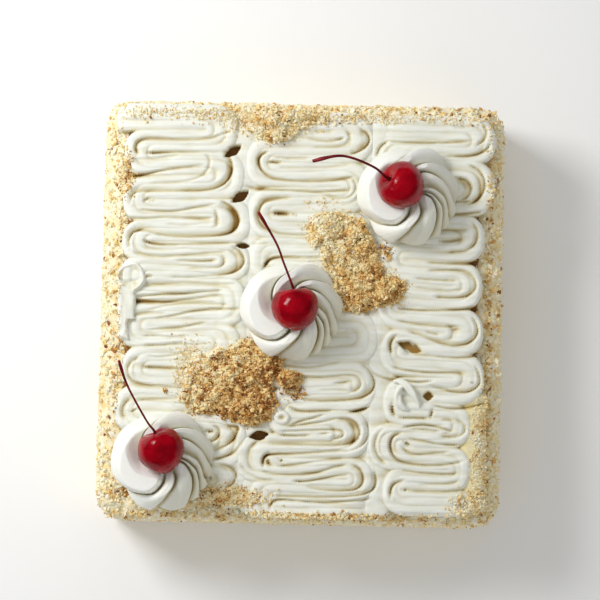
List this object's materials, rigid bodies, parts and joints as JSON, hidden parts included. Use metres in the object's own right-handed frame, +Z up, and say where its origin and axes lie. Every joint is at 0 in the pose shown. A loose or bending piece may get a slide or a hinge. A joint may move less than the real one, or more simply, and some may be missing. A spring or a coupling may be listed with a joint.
{
  "type": "tres leches cake",
  "caption": "Square milk-soaked sponge cake, crumbs on its sides, its top piped with ridged whipped cream, with cream rosettes, stemmed cherries and crumb heaps on a diagonal.",
  "frame": {"origin": "on the underside, at the middle of the footprint", "axes": "+X to the cake's right, +Y to its back, +Z up; the lines of piped cream run along X and the diagonal of rosettes goes from the front left to the back right"},
  "size_m": [0.2056, 0.2158, 0.106],
  "materials": {
    "sponge": "moist sponge cake with a browned top",
    "crumbs": "dry cake crumbs, pale yellow with toasted specks",
    "cream": "whipped cream, soft satin",
    "cherry": "wet glossy preserved cherry skin",
    "stem": "dyed cherry stem, satin"
  },
  "bodies": {
    "root": {"sponge": "sponge", "crumb_coat": "crumbs", "cream_left": "cream", "cream_middle": "cream", "cream_right": "cream", "cream_curl": "cream", "cream_smear": "cream", "rosette_back": "cream", "cherry_back": "cherry", "stem_back": "stem", "rosette_middle": "cream", "cherry_middle": "cherry", "stem_middle": "stem", "rosette_front": "cream", "cherry_front": "cherry", "stem_front": "stem", "crumb_heap_back": "crumbs", "crumb_heap_front": "crumbs", "crumb_heap_edge": "crumbs"}
  },
  "joints": []
}
